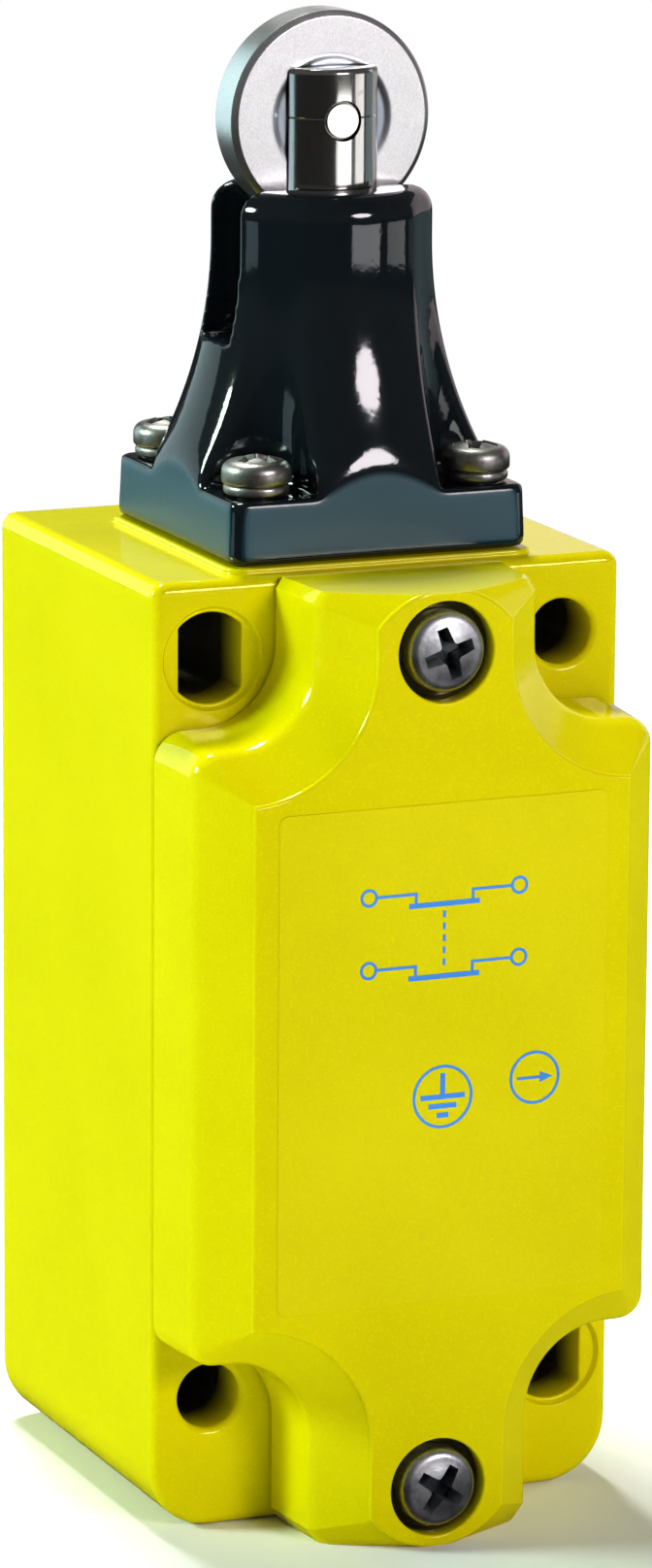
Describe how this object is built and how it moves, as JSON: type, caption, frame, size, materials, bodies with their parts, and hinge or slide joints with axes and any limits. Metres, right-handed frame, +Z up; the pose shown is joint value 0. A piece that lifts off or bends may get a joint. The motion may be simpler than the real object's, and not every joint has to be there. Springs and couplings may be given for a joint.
{
  "type": "limit switch",
  "caption": "Boxy die-cast limit switch with a screwed front cover and a black bell-shaped head, whose sprung plunger carries a roller and works the contact block inside.",
  "frame": {"origin": "middle of the foot of the whole switch's bounding box, on the face with the conduit entry", "axes": "+Z up along the plunger, the cover faces -Y, +X to the right of someone facing the cover"},
  "size_m": [0.04, 0.0459, 0.1195],
  "materials": {
    "yellow_paint": "gloss powder coat",
    "black_paint": "gloss",
    "steel": "polished",
    "zinc": "zinc plated",
    "spring_steel": "bright wire",
    "brass": "turned",
    "contact_metal": "silver plated",
    "rubber": "matt",
    "plastic": "satin",
    "white_plastic": "satin"
  },
  "bodies": {
    "case": {"block_screw_left": "zinc", "block_screw_right": "zinc", "contact_block": "plastic", "contact_block_lid": "white_plastic", "cover": "yellow_paint", "cover_gasket": "rubber", "cover_screw_bottom": "zinc", "cover_screw_top": "zinc", "earth_clamp": "zinc", "earth_screw": "zinc", "fixed_contact_lower_left": "contact_metal", "fixed_contact_lower_right": "contact_metal", "fixed_contact_upper_left": "contact_metal", "fixed_contact_upper_right": "contact_metal", "guide_bush": "brass", "head_body": "black_paint", "head_gasket": "rubber", "head_screw_back_left": "zinc", "head_screw_back_right": "zinc", "head_screw_front_left": "zinc", "head_screw_front_right": "zinc", "head_washer_back_left": "zinc", "head_washer_back_right": "zinc", "head_washer_front_left": "zinc", "head_washer_front_right": "zinc", "housing": "yellow_paint", "plunger_seal": "rubber", "reset_spring": "spring_steel", "return_spring": "spring_steel", "spring_cup": "zinc", "terminal_clamp_lower_left": "zinc", "terminal_clamp_lower_right": "zinc", "terminal_clamp_upper_left": "zinc", "terminal_clamp_upper_right": "zinc", "terminal_screw_lower_left": "zinc", "terminal_screw_lower_right": "zinc", "terminal_screw_upper_left": "zinc", "terminal_screw_upper_right": "zinc"},
    "plunger_set": {"plunger": "steel", "roller_axle": "steel"},
    "roller_set": {"roller": "steel"},
    "slider_set": {"contact_slider": "white_plastic", "contact_bridge_upper": "contact_metal", "contact_bridge_lower": "contact_metal", "bridge_spring_upper": "spring_steel", "bridge_spring_lower": "spring_steel"}
  },
  "joints": [
    {"name": "plunger_slide", "type": "slide", "parent": "case", "child": "plunger_set", "axis": [0, 0, -1], "range_m": [0, 0.006], "stiffness_N_per_m": 900, "springref_m": -0.009, "deforming": ["return_spring"]},
    {"name": "roller_spin", "type": "hinge", "parent": "plunger_set", "child": "roller_set", "pos_m": [0, 0.0032, 0.11102], "axis": [0, 1, 0], "continuous": true},
    {"name": "slider_slide", "type": "slide", "parent": "case", "child": "slider_set", "axis": [0, 0, -1], "range_m": [0, 0.006], "stiffness_N_per_m": 150, "springref_m": -0.006, "deforming": ["reset_spring"]}
  ],
  "couplings": [
    {"joint": "slider_slide", "follows": "plunger_slide", "ratio": 1}
  ]
}
